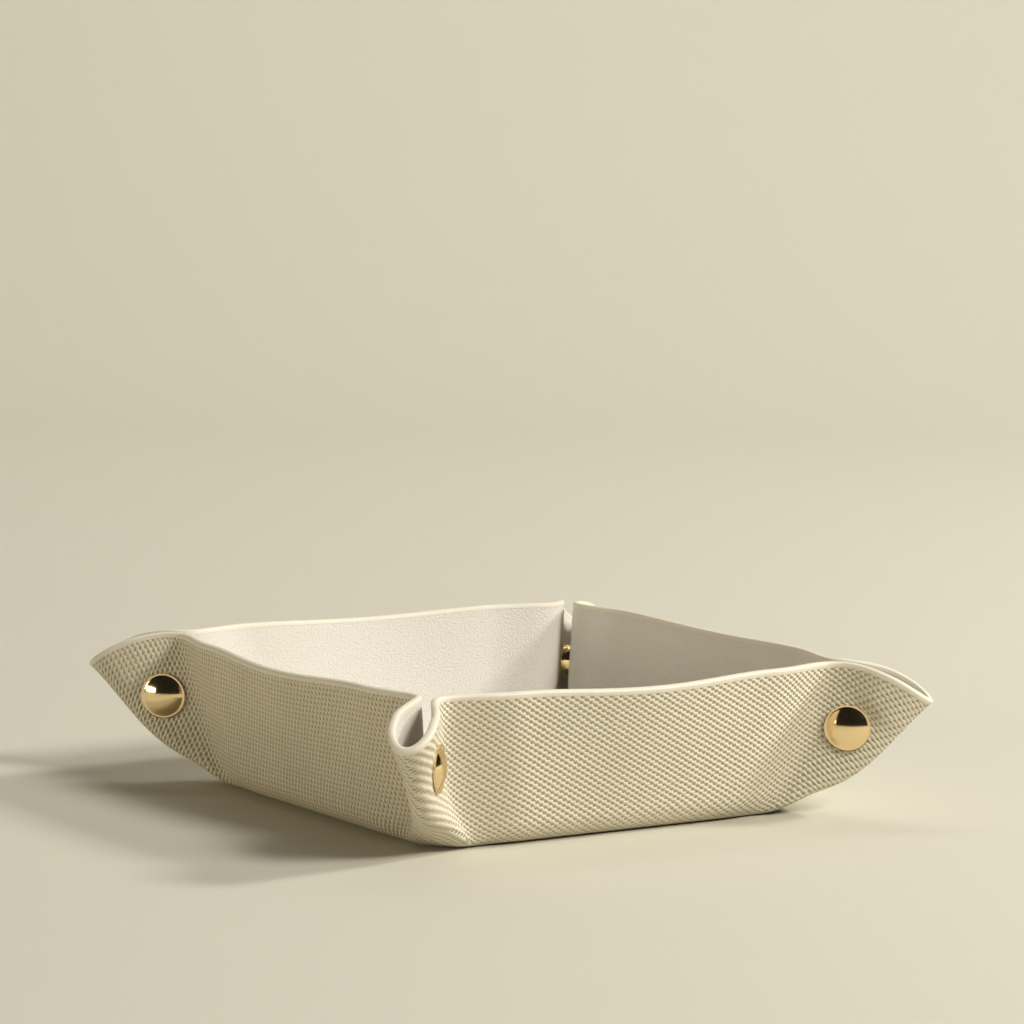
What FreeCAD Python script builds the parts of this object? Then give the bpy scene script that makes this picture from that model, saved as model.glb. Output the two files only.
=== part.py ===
# Snap-corner valet tray: one square of two-ply leather, four pinched ears, eight press-stud halves
import FreeCAD, Part
import math
import os

import Sketcher

doc = FreeCAD.newDocument("valet_tray")
V = FreeCAD.Vector
UP = V(0, 0, 1)

# Driving dimensions, in millimetres and degrees
SIZES = [
    ("base_side", 116.0, "bottom fold to bottom fold across the tray"),
    ("wall_slope", 77.0, "angle of a wall above the table"),
    ("wall_slant", 40.3, "bottom fold to rim along a wall"),
    ("wall_bow", 2.6, "how far the middle of a rim leans out past its ends"),
    ("rim_sag", 1.2, "how far the middle of a rim drops below its ends"),
    ("bend_radius", 8.0, "bottom bend at the glue line"),
    ("cover_thickness", 0.9, "woven-faced outer ply"),
    ("lining_thickness", 0.9, "smooth inner ply"),
    ("seam_gap", 0.12, "clearance where two moving panels of the sheet meet"),
    ("neck_gap", 3.0, "between the lining faces of a pinched ear"),
    ("fold_slope", 41.0, "rise of an ear's lower fold line"),
    ("fold_inset", 4.6, "where the fold line starts, inside the corner of the bottom folds"),
    ("tip_height", 30.4, "ear tip above the table, at the glue line"),
    ("neck_width", 10.5, "soft neck beside an ear, along the wall at the rim"),
    ("neck_pull", 2.7, "how far the press stud draws the neck in past the wall's own line"),
    ("loop_length", 15.0, "open end of the ear's loop along the rim"),
    ("loop_lift", 9.5, "fullness of the open end of the loop"),
    ("loop_start", 28.0, "along the fold line, where the loop begins to swell"),
    ("ear_crown", 2.0, "rise of the ear's rim over a straight line"),
    ("cap_to_neck", 0.16, "leather left flat between a cap and the neck of its ear"),
    ("cap_to_fold", 1.7, "leather between a cap and the ear's lower fold line"),
    ("cap_diameter", 12.0, "domed cap"),
    ("cap_height", 2.1, "dome above the leather"),
    ("cap_edge", 0.6, "upright rim of the cap"),
    ("cap_lip", 1.1, "flat foot of the cap on the leather"),
    ("cap_wall", 0.5, "metal of the dome"),
    ("post_radius", 1.4, "rivet post of the cap"),
    ("post_bore", 1.0, "hollow of the post"),
    ("post_clearance", 0.1, "post in the leather and in the inner pieces"),
    ("clinch_radius", 1.65, "rolled-over end of the post"),
    ("clinch_height", 0.3, "rolled-over end of the post, above what it holds"),
    ("flange_diameter", 10.0, "foot of the socket and of the stud on the lining"),
    ("flange_thickness", 0.6, "foot of the socket and of the stud, its metal"),
    ("socket_diameter", 8.4, "cup of the socket"),
    ("socket_bore", 2.4, "radius inside the cup"),
    ("socket_mouth", 0.35, "flare of the cup's mouth"),
    ("ball_radius", 2.25, "head of the stud"),
    ("ball_neck", 2.0, "waist of the stud"),
    ("ball_bore", 1.75, "hollow of the head, round the rolled-over post"),
    ("mating_gap", 0.1, "socket to the stud's foot when snapped shut"),
]

sheet = doc.addObject("Spreadsheet::Sheet", "Sizes")
for row, (alias, value, note) in enumerate(SIZES, start=1):
    sheet.set(f"A{row}", note)
    sheet.set(f"B{row}", str(value))
    sheet.setAlias(f"B{row}", alias)
doc.recompute()


def size(alias):
    """One driving dimension as the sheet holds it."""
    return float(getattr(sheet, alias))


# Shares that shape the soft curves
ROUND_HANDLE_SHARE = 0.5523
NECK_HANDLE_SHARE = 0.45
TOE_HANDLE_SHARE = 0.4
TOE_SHARES = (0.25, 0.5, 0.75)

COVER, LINING = "cover", "lining"
WALLS = {"front": -90, "right": 0, "back": 90, "left": 180}
CORNERS = {"front_right": -45, "back_right": 45, "back_left": 135, "front_left": 225}
SIDES = {"left_half": 1, "right_half": -1}

# Turns of a square
ROOT_TWO = math.sqrt(2)
EIGHTH_TURN, QUARTER_TURN, FULL_TURN = 45, 90, 360

# The glue line between the two plies is the reference surface
mid_z = size("cover_thickness")
slope = math.radians(size("wall_slope"))
fold = math.radians(size("fold_slope"))
crease = size("base_side") / 2
bend_tangent = size("bend_radius") * math.tan(slope / 2)
low_reach = crease + bend_tangent * math.cos(slope)
low_z = mid_z + bend_tangent * math.sin(slope)
rim_reach = crease + size("wall_slant") * math.cos(slope)
rim_z = mid_z + size("wall_slant") * math.sin(slope)
base_half = crease - bend_tangent
ear_plane = size("neck_gap") / 2 + size("lining_thickness")

# Lower fold line of an ear, in the vertical plane through the tray's diagonal
fold_start = ROOT_TWO * crease - size("fold_inset")
fold_low = (low_z - mid_z) / math.sin(fold)
tip_run = (size("tip_height") - mid_z) / math.sin(fold)
toe_start = fold_start - fold_low
base_corner = (ROOT_TWO * base_half - toe_start) / (ROOT_TWO - 1)


def on_fold(run, inward=0):
    """A point of the fold line, run along it from the table, moved inward across the ear."""
    return V(
        fold_start + run * math.cos(fold) - inward * math.sin(fold),
        0,
        mid_z + run * math.sin(fold) + inward * math.cos(fold),
    )


# Corner frame: X along the diagonal, Y across it towards one wall, Z up
def wall_point(reach, back, z):
    """A point of the wall, back from the wall's crease with the ear plane, in the corner frame."""
    corner = ROOT_TWO * reach - ear_plane
    return V(corner - back / ROOT_TWO, ear_plane + back / ROOT_TWO, z)


straight_half = base_half - base_corner
wall_end_low = wall_point(low_reach, low_reach - ROOT_TWO * ear_plane - straight_half, low_z)
wall_end_rim = wall_point(rim_reach, size("neck_width"), rim_z)
neck_low = V(ROOT_TWO * low_reach - ear_plane - size("neck_pull") / 2, ear_plane, low_z)
neck_rim = V(ROOT_TWO * rim_reach - ear_plane - size("neck_pull"), ear_plane, rim_z)
tip_low, tip_mid, tip_rim = on_fold(fold_low), on_fold(size("loop_start")), on_fold(tip_run)
curl_low = V(tip_low.x - ear_plane / math.sin(fold), ear_plane, low_z)
curl_mid = on_fold(size("loop_start"), ear_plane) + V(0, ear_plane, 0)
rim_way = V(neck_rim.x - tip_rim.x, 0, neck_rim.z - tip_rim.z)
rim_way.normalize()
rim_out = V(rim_way.z, 0, -rim_way.x)
curl_rim = tip_rim + rim_way * size("loop_length") + V(0, ear_plane, 0)
curl_rim = curl_rim + rim_out * size("ear_crown")
ear_rim_middle = (curl_rim + neck_rim) / 2 + rim_out * (size("ear_crown") / 2)

# The press stud sits where its cap clears the neck and the fold line
neck_way = (neck_rim - neck_low).normalize()
past_neck = V(neck_way.z, 0, -neck_way.x)
cap_radius = size("cap_diameter") / 2
above_fold = on_fold(0, cap_radius + size("cap_to_fold"))
short_of_neck = cap_radius + size("cap_to_neck") - (above_fold - neck_low).dot(past_neck)
fold_way = V(math.cos(fold), 0, math.sin(fold))
stud_axis = above_fold + fold_way * (short_of_neck / fold_way.dot(past_neck))


def bezier(*poles):
    """An edge with the given poles."""
    curve = Part.BezierCurve()
    curve.setPoles(list(poles))
    return curve.toShape()


def line(start, end):
    """A straight edge."""
    return Part.LineSegment(start, end).toShape()


def strip(outer, inner):
    """The closed outline of a ply cut across, between its outer and its inner edge."""
    ends = [edge.Vertexes for edge in (outer, inner)]
    first = line(ends[0][-1].Point, ends[1][-1].Point)
    last = line(ends[1][0].Point, ends[0][0].Point)
    return Part.Wire(Part.__sortEdges__([outer, first, inner, last]))


def loft(wires, ruled=True):
    """A solid through the outlines."""
    return Part.makeLoft(wires, True, ruled)


def ply_offsets(ply):
    """Outer and inner face of a ply, from the glue line."""
    if ply == COVER:
        return size("cover_thickness"), 0
    return 0, -size("lining_thickness")


def level_offset(offset):
    """Level step out of the wall, in the corner frame, that moves its face by the offset."""
    return V(1, 1, 0) * (offset / math.sin(slope) / ROOT_TWO)


def neck_curve(start, end, offset):
    """Level curve of the soft neck, from the wall's end to the flat of the ear."""
    start = start + level_offset(offset)
    end = end + V(0, offset, 0)
    reach = (end - start).Length * NECK_HANDLE_SHARE
    leave = V(1, -1, 0) * (reach / ROOT_TWO)
    return bezier(start, start + leave, end - V(reach, 0, 0), end)


def loop_curve(start, tip, lift, offset):
    """Curve of the ear's loop, from the flat of the ear to the fold line, where it is cut."""
    way = V(tip.x - start.x, 0, tip.z - start.z)
    length = way.Length
    way.normalize()
    lean = way.x * math.sin(fold) - way.z * math.cos(fold)
    out = way * (offset / lean)
    flat = V(0, offset, 0)
    rise = lift + offset * ROUND_HANDLE_SHARE
    handle = length * ROUND_HANDLE_SHARE
    cut = V(0, size("seam_gap") / 2, 0)
    return bezier(
        start + flat,
        start + flat + way * handle,
        V(tip.x, rise, tip.z) + out,
        V(tip.x, 0, tip.z) + out + cut,
    )


def rising_curve(foot, outward, top, upward):
    """Bend from the flat of the base up to the foot of a wall or an ear."""
    reach = (top - foot).Length * TOE_HANDLE_SHARE
    return bezier(foot, foot + outward * reach, top - upward * reach, top)


def at_share(edge, share):
    """A point of an edge, a share of the way along it."""
    first, last = edge.ParameterRange
    return edge.valueAt(first + (last - first) * share)


def toe_stations(offset):
    """Foot, outward way, top and upward way of the bend at stations from the wall's end to the fold line."""
    low_neck, rim_neck = (neck_curve(a, b, offset) for a, b in
                          ((wall_end_low, neck_low), (wall_end_rim, neck_rim)))
    low_loop = loop_curve(curl_low, tip_low, ear_plane * ROUND_HANDLE_SHARE, offset)
    mid_loop = loop_curve(curl_mid, tip_mid, ear_plane * ROUND_HANDLE_SHARE, offset)
    tops = [(low_neck, rim_neck, share) for share in (0, *TOE_SHARES, 1)]
    tops += [(low_loop, mid_loop, share) for share in (*TOE_SHARES, 1)]
    stations = []
    for index, (low, high, share) in enumerate(tops):
        turn = math.radians(EIGHTH_TURN) * (1 - index / (len(tops) - 1))
        outward = V(math.cos(turn), math.sin(turn), 0)
        centre = V(ROOT_TWO * straight_half, 0, 0)
        foot = centre + outward * base_corner + V(0, 0, mid_z - offset)
        if index == len(tops) - 1:
            foot = foot + V(0, size("seam_gap") / 2, 0)
        top = at_share(low, share)
        upward = at_share(high, share) - top
        if index == 0:
            upward = V(1, 1, ROOT_TWO * math.tan(slope))
        upward.normalize()
        stations.append((foot, outward, top, upward))
    return stations


def bottom_bend(ply):
    """Soft bend along one wall with its two toes and necks, in the frame of the corner on its right."""
    outer_offset, inner_offset = ply_offsets(ply)
    outer = [rising_curve(*station) for station in toe_stations(outer_offset)]
    inner = [rising_curve(*station) for station in toe_stations(inner_offset)]
    toe = loft([strip(a, b) for a, b in zip(outer, inner)])
    neck = loft([
        strip(neck_curve(a, b, outer_offset), neck_curve(a, b, inner_offset))
        for a, b in ((wall_end_low, neck_low), (wall_end_rim, neck_rim))
    ])
    return toe, neck


def to_wall(shape, mirrored):
    """A shape of the corner frame turned to the wall's own frame: X out of the tray, Y along the wall."""
    turned = shape.copy()
    turned.rotate(V(0, 0, 0), UP, -EIGHTH_TURN)
    if mirrored:
        return turned.mirror(V(0, 0, 0), V(0, 1, 0))
    return turned


def wall_bend(ply):
    """Everything soft that joins one wall to the base and to its ears, in the wall's frame."""
    toe, neck = bottom_bend(ply)
    pieces = [to_wall(piece, mirrored) for piece in (toe, neck) for mirrored in (False, True)]
    outer_offset, inner_offset = ply_offsets(ply)
    edges = [rising_curve(*toe_stations(offset)[0]) for offset in (outer_offset, inner_offset)]
    section = strip(*edges)
    ends = [to_wall(section, mirrored) for mirrored in (False, True)]
    pieces.append(loft(ends))
    return Part.makeCompound(pieces)


def wall_panel(ply):
    """One wall in its own frame, its rim bowed out and dipping in the middle."""
    outer, inner = (V(offset / math.sin(slope), 0, 0) for offset in ply_offsets(ply))
    foot = V(low_reach, 0, low_z) + V(1 / math.tan(slope), 0, 1) * size("seam_gap")
    low_half = straight_half - size("seam_gap")
    rim_half = rim_reach - ROOT_TWO * ear_plane - size("neck_width") - size("seam_gap")
    bow = V(size("wall_bow"), 0, -size("rim_sag"))
    sections = []
    for side in (-1, 0, 1):
        low = foot + V(0, side * low_half, 0)
        rim = V(rim_reach, side * rim_half, rim_z) + bow * (1 - abs(side))
        corners = [low + outer, rim + outer, rim + inner, low + inner]
        sections.append(Part.makePolygon(corners + corners[:1]))
    return loft(sections, ruled=False)


def ear_half(ply):
    """Half of a pinched ear on the Y side of the corner frame: its flat, with the stud's hole, and its loop."""
    outer_offset, inner_offset = ply_offsets(ply)
    depth = V(0, outer_offset - inner_offset, 0)
    face_shift = V(0, inner_offset, 0)
    aside = V(size("seam_gap"), 0, 0)
    outline = [
        line(neck_low + aside, curl_low),
        line(curl_low, curl_mid),
        line(curl_mid, curl_rim),
        Part.Arc(curl_rim, ear_rim_middle, neck_rim + aside).toShape(),
        line(neck_rim + aside, neck_low + aside),
    ]
    flat = Part.Face(Part.Wire(outline)).extrude(depth)
    flat.translate(face_shift)
    plain = ear_plane * ROUND_HANDLE_SHARE
    rounds = ((curl_low, tip_low, plain), (curl_mid, tip_mid, plain), (curl_rim, tip_rim, size("loop_lift")))
    loop = loft([
        strip(loop_curve(*ends, outer_offset), loop_curve(*ends, inner_offset)) for ends in rounds
    ])
    hole = Part.makeCylinder(
        size("post_radius") + size("post_clearance"),
        size("cap_diameter"),
        stud_axis,
        V(0, 1, 0),
    )
    return flat.fuse(loop).cut(hole)


solids = []


def soft_piece(label, shape, angle, mirrored=False):
    """A ply of the sheet as an object of the document, turned to its side of the tray."""
    piece = doc.addObject("Part::Feature", label)
    piece.Label = label
    piece.Shape = shape.mirror(V(0, 0, 0), V(0, 1, 0)) if mirrored else shape
    piece.Placement = FreeCAD.Placement(V(0, 0, 0), FreeCAD.Rotation(UP, angle))
    solids.append(piece)


def plane_of(body, role):
    """One of a body's own origin planes."""
    return next(item for item in body.Origin.OriginFeatures if item.Role == role)


def new_sketch(body, role):
    """A sketch on one of the body's origin planes."""
    sketch = body.newObject("Sketcher::SketchObject", body.Name + "_profile")
    sketch.AttachmentSupport = (plane_of(body, role), "")
    sketch.MapMode = "FlatFace"
    return sketch


def bind(sketch, kind, geometry, end, expression):
    """Ties one coordinate of a point to the sheet."""
    if expression == "0":
        axis = -2 if kind == "DistanceX" else -1
        sketch.addConstraint(Sketcher.Constraint("PointOnObject", geometry, end, axis))
        return
    point = sketch.getPoint(geometry, end)
    value = point.x if kind == "DistanceX" else point.y
    index = sketch.addConstraint(Sketcher.Constraint(kind, -1, 1, geometry, end, value))
    sketch.setExpression(f"Constraints[{index}]", expression)


def evaluate(expression):
    """The present value of an expression of the sheet."""
    names = {alias: size(alias) for alias, _, _ in SIZES}
    total = 0
    for term in expression.replace("-", "+-").split("+"):
        if not term:
            continue
        sign = -1 if term.startswith("-") else 1
        name, _, divisor = term.strip("- ").partition("/")
        value = names[name.replace("Sizes.", "").strip()] if name.strip() != "0" else 0
        total += sign * value / (float(divisor) if divisor else 1)
    return total


def draw_profile(sketch, corners, domes=()):
    """A closed outline through corners given as expressions; sides in domes are arcs centred on the axis."""
    points = [V(evaluate(x), evaluate(y), 0) for x, y in corners]
    count = len(points)
    for index in range(count):
        start, end = points[index], points[(index + 1) % count]
        if index in domes:
            height = (end.x**2 + end.y**2 - start.x**2 - start.y**2) / (2 * (end.y - start.y))
            centre = V(0, height, 0)
            middle = (start + end) / 2 - centre
            middle.normalize()
            through = centre + middle * (start - centre).Length
            sketch.addGeometry(Part.Arc(start, through, end), False)
        else:
            sketch.addGeometry(Part.LineSegment(start, end), False)
    ends = []
    for index in range(count):
        first, second = sketch.getPoint(index, 1), sketch.getPoint(index, 2)
        forward = (first - points[index]).Length <= (second - points[index]).Length
        ends.append((1, 2) if forward else (2, 1))
    for index in range(count):
        after = (index + 1) % count
        sketch.addConstraint(Sketcher.Constraint("Coincident", index, ends[index][1], after, ends[after][0]))
        x, y = corners[index]
        bind(sketch, "DistanceX", index, ends[index][0], x)
        bind(sketch, "DistanceY", index, ends[index][0], y)
        if index in domes:
            sketch.addConstraint(Sketcher.Constraint("PointOnObject", index, 3, -2))


def turned_piece(label, corners, placement, domes=()):
    """A round metal piece: its half section turned about its own axis."""
    body = doc.addObject("PartDesign::Body", label)
    body.Label = label
    sketch = new_sketch(body, "XZ_Plane")
    draw_profile(sketch, corners, domes)
    turn = body.newObject("PartDesign::Revolution", label + "_turn")
    turn.Profile = sketch
    turn.ReferenceAxis = (sketch, ["V_Axis"])
    turn.Angle = FULL_TURN
    body.Placement = placement
    solids.append(body)


def base_panel(label, low, thickness):
    """The flat bottom of one ply, a rounded square."""
    body = doc.addObject("PartDesign::Body", label)
    body.Label = label
    sketch = new_sketch(body, "XY_Plane")
    half, corner = base_half, base_corner
    straight = half - corner
    diagonal = straight + corner / ROOT_TWO
    for turn in range(4):
        spin = FreeCAD.Rotation(UP, QUARTER_TURN * turn)
        side = Part.LineSegment(spin * V(half, -straight, 0), spin * V(half, straight, 0))
        bow = Part.Arc(
            spin * V(half, straight, 0), spin * V(diagonal, diagonal, 0), spin * V(straight, half, 0)
        )
        sketch.addGeometry(side, False)
        sketch.addGeometry(bow, False)
    for index in range(8):
        sketch.addConstraint(Sketcher.Constraint("Tangent", index, 2, (index + 1) % 8, 1))
    for index in (0, 4):
        sketch.addConstraint(Sketcher.Constraint("Vertical", index))
    for index in (2, 6):
        sketch.addConstraint(Sketcher.Constraint("Horizontal", index))
    for index in (3, 5, 7):
        sketch.addConstraint(Sketcher.Constraint("Equal", 1, index))
    sketch.addConstraint(Sketcher.Constraint("Symmetric", 0, 1, 4, 1, -1, 1))
    width = sketch.addConstraint(Sketcher.Constraint("DistanceX", 4, 1, 0, 1, 2 * half))
    depth = sketch.addConstraint(Sketcher.Constraint("DistanceY", 6, 1, 2, 1, 2 * half))
    radius = sketch.addConstraint(Sketcher.Constraint("Radius", 1, corner))
    bend = "Sizes.bend_radius * tan(Sizes.wall_slope * 1 deg / 2)"
    rise = f"{bend} * sin(Sizes.wall_slope * 1 deg) / sin(Sizes.fold_slope * 1 deg)"
    toe = f"(sqrt(2) * Sizes.base_side / 2 - Sizes.fold_inset - {rise})"
    sketch.setExpression(f"Constraints[{width}]", f"Sizes.base_side - 2 * {bend}")
    sketch.setExpression(f"Constraints[{depth}]", f"Sizes.base_side - 2 * {bend}")
    corner_rule = f"(sqrt(2) * (Sizes.base_side / 2 - {bend}) - {toe}) / (sqrt(2) - 1)"
    sketch.setExpression(f"Constraints[{radius}]", corner_rule)
    pad = body.newObject("PartDesign::Pad", label + "_pad")
    pad.Profile = sketch
    pad.setExpression("Length", f"Sizes.{thickness}")
    body.Placement = FreeCAD.Placement(V(0, 0, low), FreeCAD.Rotation())
    solids.append(body)


def stud_place(angle, side, from_lining):
    """Where a press-stud piece sits: its axis points out of the ear, or in from the lining's face."""
    seat = size("neck_gap") / 2 if from_lining else 0
    outward = V(0, side, 0)
    turn = FreeCAD.Rotation(UP, outward * (-1 if from_lining else 1))
    at = stud_axis + V(0, side * seat, 0)
    corner = FreeCAD.Placement(V(0, 0, 0), FreeCAD.Rotation(UP, angle))
    return corner.multiply(FreeCAD.Placement(at, turn))


# Half sections of the press stud, radius first, each height measured from the piece's own seat
LEATHER = "Sizes.neck_gap/2+Sizes.lining_thickness+Sizes.cover_thickness"
FLOOR = "Sizes.neck_gap/2-Sizes.flange_thickness"
POST_HOLE = "Sizes.post_radius+Sizes.post_clearance"
CAP = [
    ("0", f"{LEATHER}+Sizes.cap_height"),
    ("Sizes.cap_diameter/2", f"{LEATHER}+Sizes.cap_edge"),
    ("Sizes.cap_diameter/2", LEATHER),
    ("Sizes.cap_diameter/2-Sizes.cap_lip", LEATHER),
    ("Sizes.cap_diameter/2-Sizes.cap_lip-Sizes.cap_wall", f"{LEATHER}+Sizes.cap_edge"),
    ("Sizes.post_radius", f"{LEATHER}+Sizes.cap_height-Sizes.cap_wall-Sizes.cap_wall"),
    ("Sizes.post_radius", FLOOR),
    ("Sizes.clinch_radius", FLOOR),
    ("Sizes.clinch_radius", f"{FLOOR}-Sizes.clinch_height"),
    ("Sizes.post_bore", f"{FLOOR}-Sizes.clinch_height"),
    ("Sizes.post_bore", f"{LEATHER}+Sizes.cap_edge"),
    ("0", f"{LEATHER}+Sizes.cap_edge"),
]
CUP_HEIGHT = "Sizes.neck_gap-Sizes.flange_thickness-Sizes.mating_gap"
SOCKET = [
    (POST_HOLE, "0"),
    ("Sizes.flange_diameter/2", "0"),
    ("Sizes.flange_diameter/2", "Sizes.flange_thickness"),
    ("Sizes.socket_diameter/2", "Sizes.flange_thickness"),
    ("Sizes.socket_diameter/2", CUP_HEIGHT),
    ("Sizes.socket_bore+Sizes.socket_mouth", CUP_HEIGHT),
    ("Sizes.socket_bore", f"{CUP_HEIGHT}-Sizes.socket_mouth"),
    ("Sizes.socket_bore", "Sizes.flange_thickness"),
    (POST_HOLE, "Sizes.flange_thickness"),
]
STUD = [
    (POST_HOLE, "0"),
    ("Sizes.flange_diameter/2", "0"),
    ("Sizes.flange_diameter/2", "Sizes.flange_thickness"),
    ("Sizes.ball_neck", "Sizes.flange_thickness"),
    ("Sizes.ball_radius", "Sizes.neck_gap/2-Sizes.mating_gap"),
    ("Sizes.ball_bore", "Sizes.neck_gap/2+Sizes.flange_thickness"),
    ("Sizes.ball_bore", "Sizes.flange_thickness"),
    (POST_HOLE, "Sizes.flange_thickness"),
]

base_panel("cover_base", 0, "cover_thickness")
base_panel("lining_base", mid_z, "lining_thickness")
for ply in (COVER, LINING):
    panel, bend, ear = wall_panel(ply), wall_bend(ply), ear_half(ply)
    for wall, angle in WALLS.items():
        soft_piece(f"{ply}_{wall}_wall", panel, angle)
        soft_piece(f"{ply}_{wall}_bend", bend, angle)
    for corner, angle in CORNERS.items():
        for half, side in SIDES.items():
            soft_piece(f"{ply}_{corner}_ear_{half}", ear, angle, side < 0)
for corner, angle in CORNERS.items():
    for half, side in SIDES.items():
        turned_piece(f"cap_{corner}_{half}", CAP, stud_place(angle, side, False), (0,))
    turned_piece(f"socket_{corner}", SOCKET, stud_place(angle, 1, True))
    turned_piece(f"stud_{corner}", STUD, stud_place(angle, -1, True), (4,))

doc.recompute()
failed = [item.Name for item in doc.Objects if {"Invalid", "Error"} & set(item.State)]
failed += [item.Label for item in solids if item.Shape.isNull() or not item.Shape.isValid()]
if failed:
    raise SystemExit("not valid: " + ", ".join(failed))

os.makedirs("parts", exist_ok=True)
for item in solids:
    item.Shape.exportStep(f"parts/{item.Label}.step")
    print(item.Label, len(item.Shape.Solids), "solids", round(item.Shape.Volume, 1), "mm3")
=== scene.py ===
"""Snap-corner valet tray: one square of two-ply leather, pinched into four ears by gold press studs."""
import math

import bpy
import numpy as np
from mathutils import Matrix, Vector


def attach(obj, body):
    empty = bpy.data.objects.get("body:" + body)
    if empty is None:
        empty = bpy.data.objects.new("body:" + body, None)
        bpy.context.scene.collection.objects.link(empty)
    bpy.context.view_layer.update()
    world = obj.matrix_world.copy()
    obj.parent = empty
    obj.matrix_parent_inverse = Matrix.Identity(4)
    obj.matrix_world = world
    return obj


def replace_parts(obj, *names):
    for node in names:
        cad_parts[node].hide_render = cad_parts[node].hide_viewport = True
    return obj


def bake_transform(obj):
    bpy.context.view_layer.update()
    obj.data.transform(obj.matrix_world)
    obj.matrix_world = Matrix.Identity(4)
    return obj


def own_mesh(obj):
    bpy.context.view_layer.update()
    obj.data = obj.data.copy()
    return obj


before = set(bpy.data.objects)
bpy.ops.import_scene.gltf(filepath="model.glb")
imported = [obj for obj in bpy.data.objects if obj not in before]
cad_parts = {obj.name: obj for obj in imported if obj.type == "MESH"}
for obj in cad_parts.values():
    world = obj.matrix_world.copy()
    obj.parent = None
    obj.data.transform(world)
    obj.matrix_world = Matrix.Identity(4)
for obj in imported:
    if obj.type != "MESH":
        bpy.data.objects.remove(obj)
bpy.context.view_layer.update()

bl_info = {
    "name": "Snap-corner valet tray",
    "version": (1, 0, 0),
    "blender": (4, 5, 0),
    "location": "View3D > Sidebar > Tray",
    "description": "Dresses the packed tray in woven leather, a smooth lining, painted edges and gold studs",
    "category": "Object",
}

ROOT_TWO = math.sqrt(2)
WALLS = {"front": -90, "right": 0, "back": 90, "left": 180}
CORNERS = {"front_right": -45, "back_right": 45, "back_left": 135, "front_left": 225}
PLIES = ("cover", "lining")

# From the middle of a wall to a corner, and all round the tray, in degrees
CORNER_TURN, FULL_TURN = 45, 360

# Steps of the sheet's mesh across half a wall, a neck, the flat of an ear and its nose
WALL_STEPS, NECK_STEPS, FLAT_STEPS, NOSE_STEPS = 22, 16, 16, 16
# Steps up a bend and a wall, and how many of the wall's belong to the toe of an ear
BEND_STEPS, RISE_STEPS, TOE_STEPS = 14, 30, 13
# Steps round a press stud and over a painted edge
ROUND_STEPS, RIM_STEPS = 96, 10
# Degrees past which an edge of a rim, a press stud or the base is sharp
RIM_SHARP, STUD_SHARP, BASE_SHARP = 60, 50, 40


def length(name, default, description):
    """A size in metres for the sidebar."""
    return bpy.props.FloatProperty(
        name=name, description=description, default=default,
        min=0, precision=5, subtype="DISTANCE", unit="LENGTH",
    )


def angle(name, degrees, description):
    """An angle for the sidebar."""
    return bpy.props.FloatProperty(
        name=name, description=description, default=math.radians(degrees), subtype="ANGLE", unit="ROTATION"
    )


def colour(name, default, description):
    """A linear colour for the sidebar."""
    return bpy.props.FloatVectorProperty(
        name=name, description=description, default=default, size=3, min=0, max=1, subtype="COLOR"
    )


class TraySizes(bpy.types.PropertyGroup):
    """Sizes of the folded sheet and its press studs."""

    base_side: length("Base side", 0.116, "Bottom fold to bottom fold across the tray")
    wall_slope: angle("Wall slope", 77, "Angle of a wall above the table")
    wall_slant: length("Wall slant", 0.0403, "Bottom fold to rim along a wall")
    wall_bow: length("Wall bow", 0.0026, "How far the middle of a rim leans out past its ends")
    rim_sag: length("Rim sag", 0.0012, "How far the middle of a rim drops below its ends")
    bend_radius: length("Bend radius", 0.008, "Bottom bend at the glue line")
    ply: length("Ply", 0.0009, "Thickness of the cover, and of the lining")
    neck_gap: length("Neck gap", 0.003, "Between the lining faces of a pinched ear")
    fold_slope: angle("Fold slope", 41, "Rise of an ear's lower fold line")
    fold_inset: length("Fold inset", 0.0046, "Start of the fold line inside the corner of the bottom folds")
    tip_height: length("Tip height", 0.0312, "Ear tip above the table, at the glue line")
    neck_width: length("Neck width", 0.026, "Soft neck beside an ear, along the wall at the rim")
    neck_foot: length("Neck foot", 0.008, "Soft neck along the wall before the round corner of the base")
    neck_pull: length("Neck pull", 0.0027, "How far the press stud draws the neck in")
    toe_half: length("Toe half", 0.0050, "Half the width of the blunt toe under an ear, at the glue line")
    fold_bow: length("Fold bow", 0.0022, "How far an ear's lower fold hangs below a straight line")
    loop_half: length("Loop half", 0.0050, "Half the width of the open loop, at the glue line")
    loop_nose: length("Loop nose", 0.0085, "Depth of the round end of the loop at the rim")
    ear_crown: length("Ear crown", 0.0021, "Rise of an ear's rim over a straight line")
    stud_reach: length("Stud reach", 0.0913, "Press-stud axis from the tray's centre along the diagonal")
    stud_height: length("Stud height", 0.0232, "Press-stud axis above the table")
    cap_diameter: length("Cap diameter", 0.012, "Domed cap of the press stud")
    cap_height: length("Cap height", 0.0021, "Dome above the leather")
    cap_edge: length("Cap edge", 0.0005, "Rounded edge of the cap")
    paint_lap: length("Paint lap", 0.0008, "How far the edge paint runs down the outside")
    paint_crown: length("Paint crown", 0.0006, "Rounded edge paint above the leather")
    paint_coat: length("Paint coat", 0.00007, "How proud of the leather the edge paint stands")


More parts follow.
